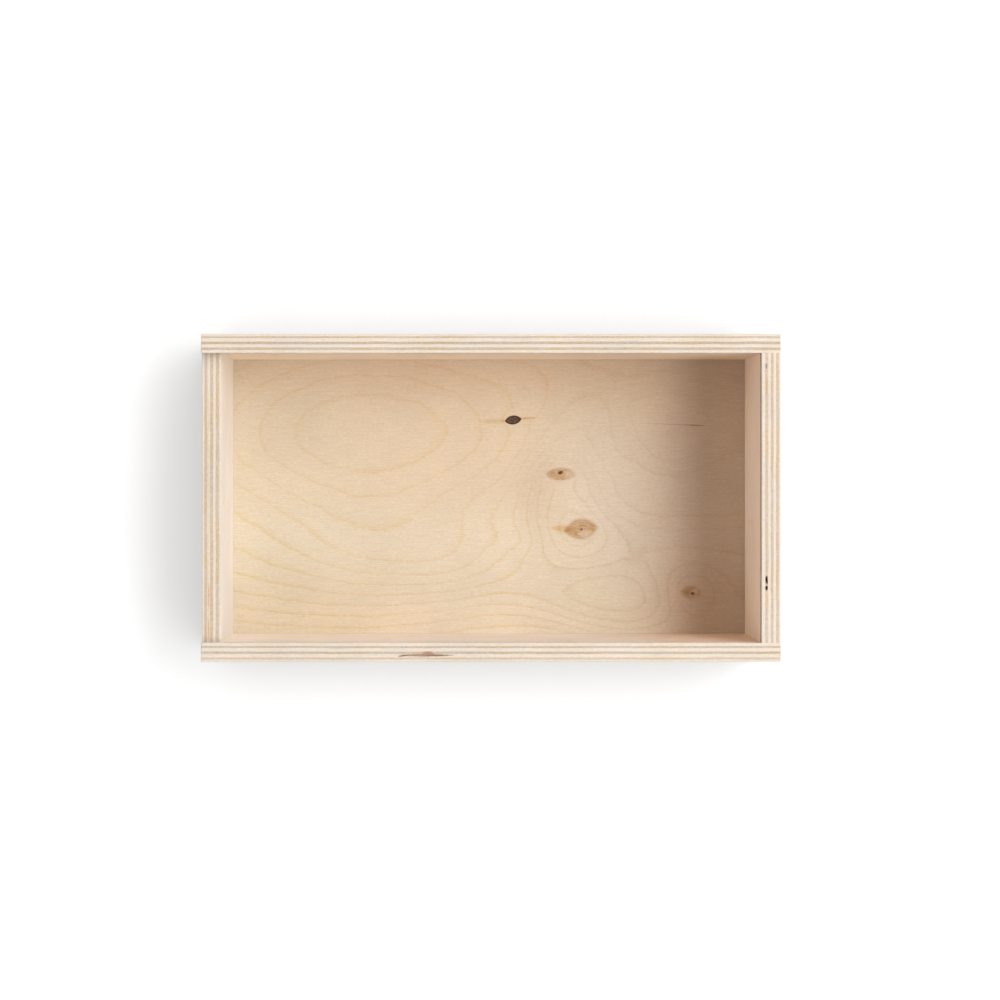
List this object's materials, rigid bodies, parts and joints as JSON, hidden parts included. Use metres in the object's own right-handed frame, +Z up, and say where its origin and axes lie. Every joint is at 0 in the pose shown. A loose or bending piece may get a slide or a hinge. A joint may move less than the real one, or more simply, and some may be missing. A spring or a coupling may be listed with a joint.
{
  "type": "wine box",
  "caption": "Open rectangular plywood box for bottles, with a grooved-in floor, one low end and grooves for a slide-in lid.",
  "frame": {"origin": "centre of the footprint, on the surface that the box stands on", "axes": "+X along the box from the low lid end to the full-height stop end, +Y from the front side to the rear side, +Z up"},
  "size_m": [0.364, 0.206, 0.11],
  "materials": {
    "side_plywood": "bare sanded birch plywood, pale and matt, banded at its edges",
    "end_plywood": "bare sanded birch plywood, pale and matt, banded at its edges",
    "floor_plywood": "bare birch plywood with flowing growth rings and small knots",
    "brad_steel": "bright wire"
  },
  "bodies": {
    "root": {"rear_side": "side_plywood", "front_side": "side_plywood", "stop_end": "end_plywood", "lid_end": "end_plywood", "floor_panel": "floor_plywood", "brad_rear_stop_low": "brad_steel", "brad_rear_stop_mid": "brad_steel", "brad_rear_stop_high": "brad_steel", "brad_rear_lid_low": "brad_steel", "brad_rear_lid_mid": "brad_steel", "brad_rear_lid_high": "brad_steel", "brad_front_stop_low": "brad_steel", "brad_front_stop_mid": "brad_steel", "brad_front_stop_high": "brad_steel", "brad_front_lid_low": "brad_steel", "brad_front_lid_mid": "brad_steel", "brad_front_lid_high": "brad_steel"}
  },
  "joints": []
}
